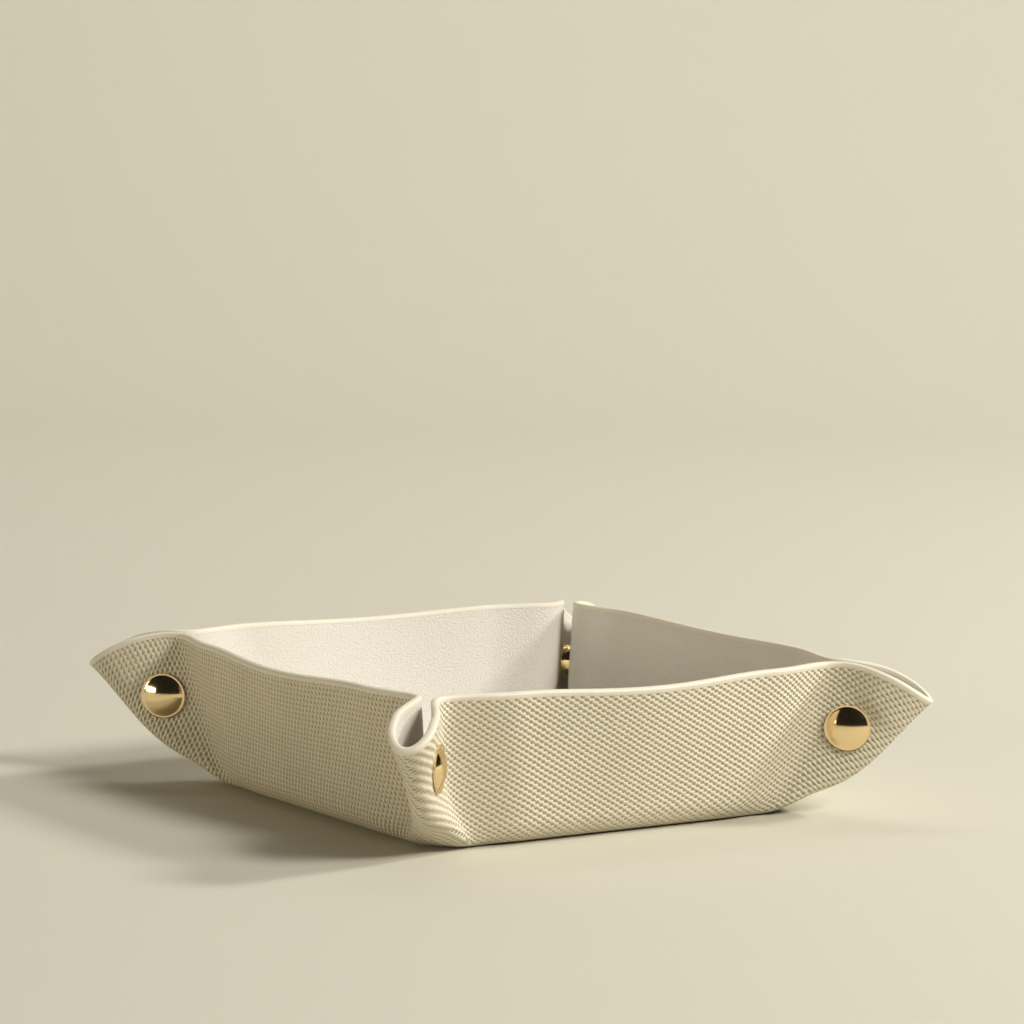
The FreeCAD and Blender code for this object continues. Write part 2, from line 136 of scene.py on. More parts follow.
class TrayFinishes(bpy.types.PropertyGroup):
    """Colours and the scale of the textures."""

    cover: colour("Cover", (0.865, 0.80, 0.625), "Raised threads of the woven cover")
    # Cover gaps: painted shade between the threads, darker than the leather itself is
    cover_gap_shade: colour("Cover gaps", (0.36, 0.30, 0.19), "Between the threads")
    lining: colour("Lining", (0.70, 0.67, 0.60), "Smooth inner leather")
    paint: colour("Edge paint", (0.76, 0.715, 0.59), "Painted cut edge")
    gold: colour("Gold", (0.97, 0.75, 0.43), "Press studs")
    backdrop: colour("Backdrop", (0.62, 0.60, 0.51), "Seamless paper")
    weave_pitch: length("Weave pitch", 0.00153, "Bump to bump along a row of the weave")
    weave_row: length("Weave row", 0.00135, "Row to row of the weave")
    grain: length("Grain", 0.0006, "Pebbles of the lining's grain")


def bezier(poles, shares):
    """Points of a cubic curve; each pole may be an array of points."""
    t = np.asarray(shares)[..., None]
    weights = ((1 - t) ** 3, 3 * t * (1 - t) ** 2, 3 * t**2 * (1 - t), t**3)
    return sum(weight * pole for weight, pole in zip(weights, poles))


def smooth(values):
    """Smooth step from 0 to 1."""
    t = np.clip(values, 0, 1)
    return t * t * (3 - 2 * t)


def unit(vectors):
    """Vectors at length 1."""
    return vectors / np.linalg.norm(vectors, axis=-1, keepdims=True)


def running_length(points):
    """Distance along rows of points, from the first column."""
    steps = np.linalg.norm(np.diff(points, axis=-2), axis=-1)
    return np.concatenate([np.zeros(steps.shape[:-1] + (1,)), np.cumsum(steps, axis=-1)], axis=-1)


class SheetForm:
    """The glue line of one wall with its bend, necks and ear halves, in the wall's frame.

    X points out of the tray, Y along the wall and Z up. A corner is met at +Y, where p runs along
    the tray's diagonal and q from the diagonal towards the wall.
    """

    # Handles of a neck's curve at the wall and at the ear, and of a bend's curve, as shares of their chords
    NECK_LEAVE_SHARE, NECK_ARRIVE_SHARE, RISE_HANDLE_SHARE = 0.45, 0.3, 0.4
    # How far up an ear its loop starts to swell, and how fast
    SWELL_START_SHARE, SWELL_POWER = 0.42, 1.35
    # Where along the flat of an ear the swelling starts, and where it is full
    FLAT_SHARE, FULL_SHARE = 0.05, 0.8
    # How far up the toe stays blunt, and the most of an ear's chord that its nose takes
    TOE_SHARE, BLUNT_SHARE = 0.4, 0.85
    # Ring round a cap where the leather leaves the pinch, in cap radii
    FREE_SHARE = 0.7
    # Brings the peak of a lower fold's hang to 1
    HANG_SCALE = 27 / 4
    # How far up a wall its direction at the bend is taken
    FIRST_RISE_SHARE = 0.02

    def __init__(self, sizes):
        self.sizes = sizes
        slope, fold = sizes.wall_slope, sizes.fold_slope
        crease = sizes.base_side / 2
        tangent = sizes.bend_radius * math.tan(slope / 2)
        self.mid_z = sizes.ply
        self.base_half = crease - tangent
        self.low_reach = crease + tangent * math.cos(slope)
        self.low_z = self.mid_z + tangent * math.sin(slope)
        self.rim_reach = crease + sizes.wall_slant * math.cos(slope)
        self.rim_z = self.mid_z + sizes.wall_slant * math.sin(slope)
        self.ear_plane = sizes.neck_gap / 2 + sizes.ply
        fold_start = ROOT_TWO * crease - sizes.fold_inset
        rise = self.low_z - self.mid_z
        toe_start = fold_start - rise / math.sin(fold)
        self.base_corner = (ROOT_TWO * self.base_half - toe_start) / (ROOT_TWO - 1)
        self.straight_half = self.base_half - self.base_corner
        self.wall_half = self.straight_half - sizes.neck_foot
        self.rim_half = self.rim_reach - ROOT_TWO * self.ear_plane - sizes.neck_width
        tip_rise = sizes.tip_height - self.mid_z
        self.tip_low = np.array([fold_start + rise / math.tan(fold), self.low_z])
        self.tip_rim = np.array([fold_start + tip_rise / math.tan(fold), sizes.tip_height])
        self.nose_low = self.ear_plane / math.sin(fold)
        self.fold_down = np.array([math.sin(fold), -math.cos(fold)])

    @staticmethod
    def from_corner(p, q, z):
        """Corner coordinates as points of the wall's frame."""
        return np.stack(np.broadcast_arrays((p + q) / ROOT_TWO, (p - q) / ROOT_TWO, z), axis=-1)

    def wall_line(self, v, shares):
        """The wall from its middle to its end, v of the way up."""
        lean = (1 - shares**2) ** 2 * v
        reach = self.low_reach + (self.rim_reach - self.low_reach) * v + self.sizes.wall_bow * lean
        along = shares * (self.wall_half + (self.rim_half - self.wall_half) * v)
        z = self.low_z + (self.rim_z - self.low_z) * v - self.sizes.rim_sag * lean
        return np.stack([reach, along, z], axis=-1)

    def half_gap(self, v):
        """From the diagonal to the glue line of the neck: blunt at the toe, pinched at the press stud."""
        open_toe = max(0, 1 - v / self.TOE_SHARE) ** 2
        return self.ear_plane + (self.sizes.toe_half - self.ear_plane) * open_toe

    def neck_point(self, v):
        """Where the neck becomes the flat of the ear, along the diagonal and up."""
        reach = self.low_reach + (self.rim_reach - self.low_reach) * v
        pull = self.sizes.neck_pull * (1 + v) / 2
        z = self.low_z + (self.rim_z - self.low_z) * v
        return np.array([ROOT_TWO * reach - self.half_gap(v) - pull, z])

    def neck_line(self, v, shares):
        """The soft neck, from a wall's end to the flat of the ear, v of the way up."""
        start = self.wall_line(v, np.ones(1))[0]
        p, z = self.neck_point(v)
        end = self.from_corner(p, self.half_gap(v), z)
        chord = np.linalg.norm(end - start)
        leave = np.array([0, 1, 0]) * chord * self.NECK_LEAVE_SHARE
        arrive = np.array([1, 1, 0]) / ROOT_TWO * chord * self.NECK_ARRIVE_SHARE
        return bezier((start, start + leave, end - arrive, end), shares)

    def ear_line(self, v, flat_shares, nose_shares):
        """Half an ear, from the neck over the flat and round the nose to the fold line."""
        neck = self.neck_point(v)
        gap = self.half_gap(v)
        hang = self.sizes.fold_bow * self.HANG_SCALE * v * (1 - v) ** 2
        tip = self.tip_low + (self.tip_rim - self.tip_low) * v + self.fold_down * hang
        chord = np.linalg.norm(tip - neck)
        way = (tip - neck) / chord
        out = np.array([-way[1], way[0]])
        swell = max(0, (v - self.SWELL_START_SHARE) / (1 - self.SWELL_START_SHARE)) ** self.SWELL_POWER
        nose = self.nose_low + (self.sizes.loop_nose - self.nose_low) * swell
        nose = min(nose + gap - self.ear_plane, chord * self.BLUNT_SHARE)
        bulge = (self.sizes.loop_half - self.ear_plane) * swell
        turn = nose_shares * math.pi / 2
        run = np.concatenate([flat_shares * (chord - nose), chord - nose + nose * np.sin(turn)])
        x = run / chord
        crown = self.sizes.ear_crown * 4 * x * (1 - x) * v**2
        place = neck + run[:, None] * way + crown[:, None] * out
        stud = np.array([self.sizes.stud_reach, self.sizes.stud_height])
        cap = self.sizes.cap_diameter / 2
        free = smooth((np.linalg.norm(place - stud, axis=-1) / cap - 1) / self.FREE_SHARE)
        rise = smooth((flat_shares - self.FLAT_SHARE) / (self.FULL_SHARE - self.FLAT_SHARE))
        flat_count = len(flat_shares)
        last = free[flat_count - 1]
        across = np.concatenate([
            gap + bulge * rise * free[:flat_count],
            (gap + bulge * last) * np.cos(turn),
        ])
        return self.from_corner(place[:, 0], across, place[:, 1])

    def section(self, v):
        """The whole half section, from the wall's middle to the fold line."""
        wall = np.linspace(0, 1, WALL_STEPS + 1)
        neck = np.linspace(0, 1, NECK_STEPS + 1)[1:]
        flat = np.linspace(0, 1, FLAT_STEPS + 1)[1:]
        nose = np.linspace(0, 1, NOSE_STEPS + 1)[1:]
        lines = (self.wall_line(v, wall), self.neck_line(v, neck), self.ear_line(v, flat, nose))
        return np.concatenate(lines)

    def half_grid(self):
        """Points and sheet coordinates of the half wall, rows from the base up to the rim."""
        leather = 1 - self.sizes.paint_crown / self.sizes.wall_slant
        rise_shares = np.linspace(0, leather, RISE_STEPS + 1)
        rise = np.stack([self.section(v) for v in rise_shares])
        low = rise[0]
        upward = unit(self.section(self.FIRST_RISE_SHARE) - low)
        ear_run = running_length(low[WALL_STEPS:])
        foot_run = ear_run / ear_run[-1] * (self.sizes.neck_foot + self.base_corner * math.pi / 4)
        past_wall = self.wall_half + np.minimum(foot_run, self.sizes.neck_foot)
        along = np.concatenate([low[:WALL_STEPS, 1], past_wall])
        turn = np.maximum(foot_run - self.sizes.neck_foot, 0) / self.base_corner
        turn = np.concatenate([np.zeros(WALL_STEPS), turn])
        outward = np.stack([np.cos(turn), np.sin(turn), np.zeros_like(turn)], axis=-1)
        reach, level = np.full_like(along, self.straight_half), np.full_like(along, self.mid_z)
        foot = np.stack([reach, along, level], axis=-1) + outward * self.base_corner
        handle = np.linalg.norm(low - foot, axis=-1, keepdims=True) * self.RISE_HANDLE_SHARE
        poles = (foot, foot + outward * handle, low - upward * handle, low)
        bend = np.stack([bezier(poles, np.full(len(low), t)) for t in np.linspace(0, 1, BEND_STEPS + 1)])
        points = np.concatenate([bend, rise[1:]])
        return points, self.flat_coordinates(points)

    def flat_coordinates(self, points):
        """Where each point lies on the flat sheet: distance out from the centre, then along the wall."""
        up = running_length(np.swapaxes(points, 0, 1)).T
        out = self.base_half + up[:, :1] + np.zeros_like(up)
        along = points[:, :, 1].copy()
        ear = points[:, WALL_STEPS:]
        share = running_length(ear)
        share = share / share[:, -1:]
        end = along[:, WALL_STEPS : WALL_STEPS + 1]
        along[:, WALL_STEPS:] = end + (out[:, WALL_STEPS:] - end) * share
        foot = points[0, :, :2]
        for row in range(BEND_STEPS):
            t = row / BEND_STEPS
            out[row] = foot[:, 0] * (1 - t) + out[BEND_STEPS] * t
            along[row] = foot[:, 1] * (1 - t) + along[BEND_STEPS] * t
        return np.stack([out, along], axis=-1)

    def wall_grid(self):
        """Points, outward normals, rim directions and sheet coordinates from fold line to fold line."""
        points, flat = self.half_grid()
        mirror = np.array([1, -1, 1])
        points = np.concatenate([points[:, :0:-1] * mirror, points], axis=1)
        flat = np.concatenate([flat[:, :0:-1] * mirror[:2], flat], axis=1)
        across = np.gradient(points, axis=1)
        upward = np.gradient(points, axis=0)
        normals = unit(np.cross(across, upward))
        normals[0] = (0, 0, -1)
        diagonal = np.array([1, 1, 0]) / ROOT_TWO
        for column, side in ((-1, 1), (0, -1)):
            level = diagonal * np.array([1, side, 0])
            edge = normals[:, column]
            normals[:, column] = unit((edge @ level)[:, None] * level + edge[:, 2:] * np.array([0, 0, 1]))
        return points, normals, unit(upward), flat


def turned(points, degrees):
    """Points turned about the tray's upright axis."""
    c, s = math.cos(math.radians(degrees)), math.sin(math.radians(degrees))
    return points @ np.array([[c, s, 0], [-s, c, 0], [0, 0, 1]])


def turned_sheet(flat, degrees):
    """Sheet coordinates turned about the sheet's centre."""
    level = np.zeros(flat.shape[:-1] + (1,))
    return turned(np.concatenate([flat, level], axis=-1), degrees)[..., :2]


def new_mesh(name, vertices, faces, flat=None, normals=None):
    """A mesh object, with sheet coordinates for each vertex and normals for each corner if given."""
    mesh = bpy.data.meshes.new(name)
    mesh.from_pydata([tuple(v) for v in vertices], [], faces)
    mesh.polygons.foreach_set("use_smooth", [True] * len(mesh.polygons))
    if flat is not None:
        layer = mesh.uv_layers.new(name="sheet")
        corners = np.array([loop.vertex_index for loop in mesh.loops])
        layer.data.foreach_set("uv", flat[corners].ravel())
    mesh.validate()
    mesh.update()
    if normals is not None:
        mesh.normals_split_custom_set([tuple(n) for n in normals])
    piece = bpy.data.objects.new(name, mesh)
    bpy.context.scene.collection.objects.link(piece)
    return piece


def shell(name, outer, inner, normals, flat):
    """A closed ply between two grids of points that share normals and sheet coordinates."""
    rows, width = outer.shape[:2]
    count = rows * width
    index = np.arange(count).reshape(rows, width)
    corners = [index[:-1, :-1], index[:-1, 1:], index[1:, 1:], index[1:, :-1]]
    front = np.stack(corners, axis=-1).reshape(-1, 4)
    border = np.concatenate([index[0, :-1], index[:-1, -1], index[-1, :0:-1], index[:0:-1, 0]])
    after = np.roll(border, -1)
    side = np.stack([after, border, border + count, after + count], axis=-1)
    back = front[:, ::-1] + count
    faces = np.concatenate([front, back, side])
    vertices = np.concatenate([outer.reshape(-1, 3), inner.reshape(-1, 3)])
    plain = normals.reshape(-1, 3)
    loop_normals = np.concatenate([
        plain[front.ravel()], -plain[back.ravel() - count], np.zeros((side.size, 3))
    ])
    both = np.concatenate([flat.reshape(-1, 2)] * 2)
    return new_mesh(name, vertices, faces.tolist(), both, loop_normals)


def ring_faces(count, around):
    """Indices of rings of points, and the faces between one ring and the next."""
    index = np.arange(count * around).reshape(count, around)
    step = np.roll(index, -1, axis=1)
    faces = np.stack([index[:-1], step[:-1], step[1:], index[1:]], axis=-1)
    return index, faces.reshape(-1, 4).tolist()


def tube(name, rings, flat):
    """A closed tube through rings of points."""
    count, around = rings.shape[:2]
    index, faces = ring_faces(count, around)
    faces += [index[0, ::-1].tolist(), index[-1].tolist()]
    piece = new_mesh(name, rings.reshape(-1, 3), faces, np.repeat(flat, around, axis=0))
    piece.data.set_sharp_from_angle(angle=math.radians(RIM_SHARP))
    return piece


def lathe(name, profile, place):
    """A round piece: radius and height pairs, from the axis to the axis, turned about Z and put in place."""
    steps = np.linspace(0, 2 * math.pi, ROUND_STEPS, endpoint=False)
    circle = np.stack([np.cos(steps), np.sin(steps), np.zeros_like(steps)], axis=-1)
    rings = [radius * circle + np.array([0, 0, height]) for radius, height in profile[1:-1]]
    vertices = np.concatenate([*rings, [[0, 0, profile[0][1]], [0, 0, profile[-1][1]]]])
    index, faces = ring_faces(len(rings), ROUND_STEPS)
    first, last = len(vertices) - 2, len(vertices) - 1
    faces += [[first, b, a] for a, b in zip(index[0], np.roll(index[0], -1))]
    faces += [[last, a, b] for a, b in zip(index[-1], np.roll(index[-1], -1))]
    piece = new_mesh(name, vertices, faces)
    piece.data.transform(place)
    piece.data.set_sharp_from_angle(angle=math.radians(STUD_SHARP))
    return piece


class Shade:
    """One output socket of a node tree, with arithmetic that adds Math nodes."""

    def __init__(self, finish, socket):
        self.finish = finish
        self.socket = socket

    def math(self, operation, *others):
        """This value and others through a Math node."""
        return self.finish.node("ShaderNodeMath", {"operation": operation}, dict(enumerate((self, *others))))

    def __add__(self, other):
        return self.math("ADD", other)

    def __mul__(self, other):
        return self.math("MULTIPLY", other)

    def __sub__(self, other):
        return self.math("SUBTRACT", other)

    def __rsub__(self, other):
        return (self * -1.0) + other

    __radd__ = __add__


class Finish:
    """A material, or the world, and its nodes."""

    # Sockets of a Mix node for colours: its share, both colours and its result
    MIX_SHARE, MIX_FIRST, MIX_SECOND, MIX_RESULT = 0, 6, 7, 2
    # Outputs with the object's own coordinates and with a noise's colour
    OBJECT_OUTPUT, COLOUR_OUTPUT = 3, 1

    def __init__(self, tree):
        self.tree = tree
        tree.nodes.clear()

    def node(self, kind, settings, values, output=0):
        """Any node: its settings first, then the values or links of its sockets."""
        node = self.tree.nodes.new(kind)
        for name, setting in settings.items():
            setattr(node, name, setting)
        for name, value in values.items():
            if isinstance(value, Shade):
                self.tree.links.new(value.socket, node.inputs[name])
            else:
                node.inputs[name].default_value = value
        return Shade(self, node.outputs[output]) if node.outputs else None

    def mix(self, share, first, second):
        """Colours mixed by a share."""
        first, second = (
            value if isinstance(value, Shade) else (*value, 1) for value in (first, second)
        )
        values = {self.MIX_SHARE: share, self.MIX_FIRST: first, self.MIX_SECOND: second}
        return self.node("ShaderNodeMix", {"data_type": "RGBA"}, values, self.MIX_RESULT)

    def ramp(self, value, low, high):
        """A value eased from 0 at low to 1 at high."""
        settings = {"interpolation_type": "SMOOTHSTEP"}
        return self.node("ShaderNodeMapRange", settings, {"Value": value, "From Min": low, "From Max": high})

    def noise(self, where, scale, detail=2.0):
        """Soft noise between 0 and 1."""
        return self.node("ShaderNodeTexNoise", {}, {"Vector": where, "Scale": scale, "Detail": detail})

    def bump(self, height, distance, strength):
        """A normal raised by a height."""
        return self.node("ShaderNodeBump", {}, {"Height": height, "Distance": distance, "Strength": strength})

    def sheet(self):
        """Coordinates on the flat sheet."""
        return self.node("ShaderNodeUVMap", {"uv_map": "sheet"}, {})

    def where(self):
        """Coordinates of the object."""
        return self.node("ShaderNodeTexCoord", {}, {}, self.OBJECT_OUTPUT)

    def surface(self, tint, roughness, others):
        """The principled surface, joined to the output."""
        values = {"Base Color": tint, "Roughness": roughness, **others}
        shader = self.node("ShaderNodeBsdfPrincipled", {}, values)
        self.node("ShaderNodeOutputMaterial", {}, {"Surface": shader})


def new_finish(name):
    """A new material and its nodes."""
    material = bpy.data.materials.new(name)
    material.use_nodes = True
    return material, Finish(material.node_tree)


def darker(tint, share):
    """A colour at a share of its brightness."""
    return [share * part for part in tint]


def woven_cover(finishes):
    """Leather embossed with staggered rows of rounded threads, with painted shade in the gaps between them.
    """
    wobble_scale, fibre_scale, cloud_scale, cloud_detail = 260.0, 2600.0, 45.0, 3.0
    slip_share, fibre_share, cloud_share, dark_share = 0.9, 0.12, 0.22, 0.9
    gap_low, gap_high, top_low, top_high = -0.95, -0.15, -0.8, 0.9
    relief, relief_strength = 0.00046, 1.0
    rough, thread_polish, fibre_rough, specular = 0.66, 0.16, 0.08, 0.42
    material, finish = new_finish("woven_leather")
    sheet = finish.sheet()
    split = finish.node("ShaderNodeSeparateXYZ", {}, {"Vector": sheet})
    x, y = (Shade(finish, split.socket.node.outputs[axis]) for axis in (0, 1))
    slip = (finish.noise(sheet, wobble_scale) - 0.5) * slip_share
    along = (x * (2 * math.pi / finishes.weave_pitch) + slip).math("COSINE")
    over = (y * (math.pi / finishes.weave_row) + slip).math("COSINE")
    lattice = along * over
    thread = finish.ramp(lattice, gap_low, gap_high)
    fibre = finish.noise(sheet, fibre_scale)
    cloud = finish.noise(sheet, cloud_scale, cloud_detail)
    # The gaps between the threads take a darker colour as painted shade; the random clouds darken towards a
    # share of it
    tint = finish.mix(thread, finishes.cover_gap_shade, finishes.cover)
    shade = finish.mix(cloud * cloud_share, tint, darker(finishes.cover_gap_shade, dark_share))
    height = finish.ramp(lattice, top_low, top_high) + fibre * fibre_share
    normal = finish.bump(height, relief, relief_strength)
    roughness = rough - thread * thread_polish + fibre * fibre_rough
    finish.surface(shade, roughness, {"Normal": normal, "Specular IOR Level": specular})
    return material


def smooth_lining(finishes):
    """Fine pebbled grain of the inner leather, with painted shade in its creases."""
    swirl_scale, swirl_size, smoothness = 700.0, 0.0007, 0.35
    fine_scale, cloud_scale, cloud_detail = 3200.0, 38.0, 3.0
    crease_low, crease_high = 0.25, 0.75
    crease_share, crease_shade, cloud_share, cloud_dark, fine_share = 0.35, 0.86, 0.2, 0.9, 0.3
    relief, relief_strength = 0.0001, 0.6
    rough, crease_rough, specular = 0.5, 0.14, 0.4
    material, finish = new_finish("lining_leather")
    sheet = finish.sheet()
    values = {"Vector": sheet, "Scale": swirl_scale}
    swirl = finish.node("ShaderNodeTexNoise", {}, values, finish.COLOUR_OUTPUT)
    drift = finish.node("ShaderNodeVectorMath", {"operation": "SCALE"}, {0: swirl, "Scale": swirl_size})
    bent = finish.node("ShaderNodeVectorMath", {"operation": "ADD"}, {0: sheet, 1: drift})
    pebble = finish.node(
        "ShaderNodeTexVoronoi", {"feature": "SMOOTH_F1", "voronoi_dimensions": "2D"},
        {"Vector": bent, "Scale": 1 / finishes.grain, "Smoothness": smoothness},
    )
    fine = finish.noise(sheet, fine_scale)
    cloud = finish.noise(sheet, cloud_scale, cloud_detail)
    crease = finish.ramp(pebble, crease_low, crease_high)
    # The creases between the pebbles of the grain are darkened as painted shade
    tint = finish.mix(crease * crease_share, finishes.lining, darker(finishes.lining, crease_shade))
    shade = finish.mix(cloud * cloud_share, tint, darker(finishes.lining, cloud_dark))
    normal = finish.bump(1 - crease + fine * fine_share, relief, relief_strength)
    roughness = rough + crease * crease_rough
    finish.surface(shade, roughness, {"Normal": normal, "Specular IOR Level": specular})
    return material


def edge_paint(finishes):
    """Satin paint over the cut edge, a little uneven."""
    wave_scale, cloud_scale, cloud_share, dark_share = 420.0, 90.0, 0.3, 0.88
    relief, relief_strength = 0.00012, 0.5
    rough, wave_rough = 0.42, 0.12
    material, finish = new_finish("edge_paint")
    where = finish.where()
    wave = finish.noise(where, wave_scale)
    cloud = finish.noise(where, cloud_scale)
    shade = finish.mix(cloud * cloud_share, finishes.paint, darker(finishes.paint, dark_share))
    normal = finish.bump(wave, relief, relief_strength)
    finish.surface(shade, rough + wave * wave_rough, {"Normal": normal})
    return material


def polished_gold(finishes):
    """Plated brass with a trace of handling marks."""
    mark_scale, mark_detail, cloud_scale, cloud_share, dark_share = 900.0, 4.0, 160.0, 0.25, 0.88
    rough, mark_rough = 0.07, 0.09
    material, finish = new_finish("polished_gold")
    where = finish.where()
    marks = finish.noise(where, mark_scale, mark_detail)
    cloud = finish.noise(where, cloud_scale)
    shade = finish.mix(cloud * cloud_share, finishes.gold, darker(finishes.gold, dark_share))
    finish.surface(shade, rough + marks * mark_rough, {"Metallic": 1.0})
    return material


def seamless_paper(finishes):
    """Matt studio paper."""
    cloud_scale, cloud_detail, fibre_scale, cloud_share, dark_share = 5.0, 3.0, 900.0, 0.18, 0.93
    relief, relief_strength = 0.0001, 0.25
    rough, specular = 0.9, 0.25
    material, finish = new_finish("seamless_paper")
    where = finish.where()
    cloud = finish.noise(where, cloud_scale, cloud_detail)
    shade = finish.mix(cloud * cloud_share, finishes.backdrop, darker(finishes.backdrop, dark_share))
    normal = finish.bump(finish.noise(where, fibre_scale), relief, relief_strength)
    finish.surface(shade, rough, {"Normal": normal, "Specular IOR Level": specular})
    return material


MAKERS = {
    "woven_leather": woven_cover,
    "lining_leather": smooth_lining,
    "edge_paint": edge_paint,
    "polished_gold": polished_gold,
    "seamless_paper": seamless_paper,
}


def paint(piece, name):
    """Gives a piece its material, made once."""
    material = bpy.data.materials.get(name) or MAKERS[name](bpy.context.scene.tray_finishes)
    piece.data.materials.clear()
    piece.data.materials.append(material)
    return piece


PLY_FINISH = {"cover": "woven_leather", "lining": "lining_leather"}

# Columns of a wall's grid, from fold line to fold line
HALF = WALL_STEPS + NECK_STEPS + FLAT_STEPS + NOSE_STEPS
NECK_END = WALL_STEPS + NECK_STEPS


def columns(first, last, side):
    """Columns of the grid at one end of the wall, counted from its middle."""
    if side > 0:
        return slice(HALF + first, HALF + last + 1)
    return slice(HALF - last, HALF - first + 1)


def ply_piece(name, ply, rows, cols, degrees):
    """One ply of part of a wall's grid, in the tray's frame."""
    form = SheetForm(bpy.context.scene.tray_sizes)
    points, normals, _, flat = form.wall_grid()
    points, normals, flat = points[rows, cols], normals[rows, cols], flat[rows, cols]
    step = normals * form.sizes.ply
    outer, inner = (points + step, points) if ply == "cover" else (points, points - step)
    solid = (turned(grid, degrees) for grid in (outer, inner, normals))
    piece = shell(name, *solid, turned_sheet(flat, degrees))
    return paint(piece, PLY_FINISH[ply])


def rim_piece(name, cols, degrees):
    """The painted edge along part of a rim."""
    form = SheetForm(bpy.context.scene.tray_sizes)
    points, normals, upward, flat = form.wall_grid()
    at, normal, up = (grid[-1, cols][:, None] for grid in (points, normals, upward))
    half = form.sizes.ply + form.sizes.paint_coat
    turn = np.linspace(0, math.pi, RIM_STEPS + 1)[:, None]
    crown = normal * (half * np.cos(turn)) + up * (form.sizes.paint_crown * np.sin(turn))
    lap_in = -normal * half - up * form.sizes.paint_lap
    lap_out = normal * half - up * form.sizes.paint_lap
    rings = at + np.concatenate([lap_out, crown, lap_in], axis=1)
    piece = tube(name, turned(rings[:, ::-1], degrees), turned_sheet(flat[-1, cols], degrees))
    return paint(piece, "edge_paint")


def ends(degrees):
    """The two ear halves of a wall: their corner, half and the end of the wall they are on."""
    for corner, corner_angle in CORNERS.items():
        turn = (corner_angle - degrees) % FULL_TURN
        if turn == CORNER_TURN:
            yield corner, "right_half", 1
        elif turn == FULL_TURN - CORNER_TURN:
            yield corner, "left_half", -1


# Rows of a wall's grid, from the base up to the rim
BEND_ROWS = slice(0, BEND_STEPS + 1)
RISE_ROWS = slice(BEND_STEPS, BEND_STEPS + RISE_STEPS + 1)
TOE_ROWS = slice(BEND_STEPS, BEND_STEPS + TOE_STEPS + 1)
LOOP_ROWS = slice(BEND_STEPS + TOE_STEPS, BEND_STEPS + RISE_STEPS + 1)


class TRAY_OT_base(bpy.types.Operator):
    """Lays the flat bottom of the cover and of the lining"""

    bl_idname = "tray.base"
    bl_label = "Base"

    RING_SHARES = (0.35, 0.7, 1)

    def execute(self, context):
        form = SheetForm(context.scene.tray_sizes)
        foot = form.wall_grid()[0][0]
        outline = np.concatenate([turned(foot[:-1], degrees) for degrees in WALLS.values()])
        level = outline * np.array([1, 1, 0])
        for ply, low in zip(PLIES, (0, form.sizes.ply)):
            rings = [level * share + np.array([0, 0, low]) for share in self.RING_SHARES]
            rings += [ring + np.array([0, 0, form.sizes.ply]) for ring in rings[::-1]]
            index, faces = ring_faces(len(rings), len(outline))
            faces = [[face[0], *face[:0:-1]] for face in faces]
            faces += [index[0].tolist()[::-1], index[-1].tolist()]
            vertices = np.concatenate(rings)
            piece = new_mesh(f"{ply}_bottom", vertices, faces, vertices[:, :2])
            piece.data.set_sharp_from_angle(angle=math.radians(BASE_SHARP))
            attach(paint(piece, PLY_FINISH[ply]), "base")
            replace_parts(piece, f"{ply}_base")
        return {"FINISHED"}


class TRAY_OT_bends(bpy.types.Operator):
    """Bends the sheet up from the base along each wall and round its toes"""

    bl_idname = "tray.bends"
    bl_label = "Bends"

    def execute(self, context):
        form = SheetForm(context.scene.tray_sizes)
        top = form.wall_grid()[0][BEND_STEPS]
        start = np.array([form.base_half, 0, form.mid_z])
        end = top[top[:, 0].argmin()] * np.array([1, 0, 1])
        for wall, degrees in WALLS.items():
            span = {"start": turned(start, degrees).tolist(), "end": turned(end, degrees).tolist()}
            for ply in PLIES:
                piece = ply_piece(f"{ply}_{wall}_foot", ply, BEND_ROWS, slice(None), degrees)
                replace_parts(piece, f"{ply}_{wall}_bend")
                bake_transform(piece)
        return {"FINISHED"}


class TRAY_OT_walls(bpy.types.Operator):
    """Raises the four walls with their painted rims"""

    bl_idname = "tray.walls"
    bl_label = "Walls"

    def execute(self, context):
        middle = slice(HALF - WALL_STEPS, HALF + WALL_STEPS + 1)
        for wall, degrees in WALLS.items():
            for ply in PLIES:
                piece = ply_piece(f"{ply}_{wall}_side", ply, RISE_ROWS, middle, degrees)
                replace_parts(piece, f"{ply}_{wall}_wall")
                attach(piece, f"{wall}_wall")
            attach(rim_piece(f"rim_{wall}_side", middle, degrees), f"{wall}_wall")
        return {"FINISHED"}


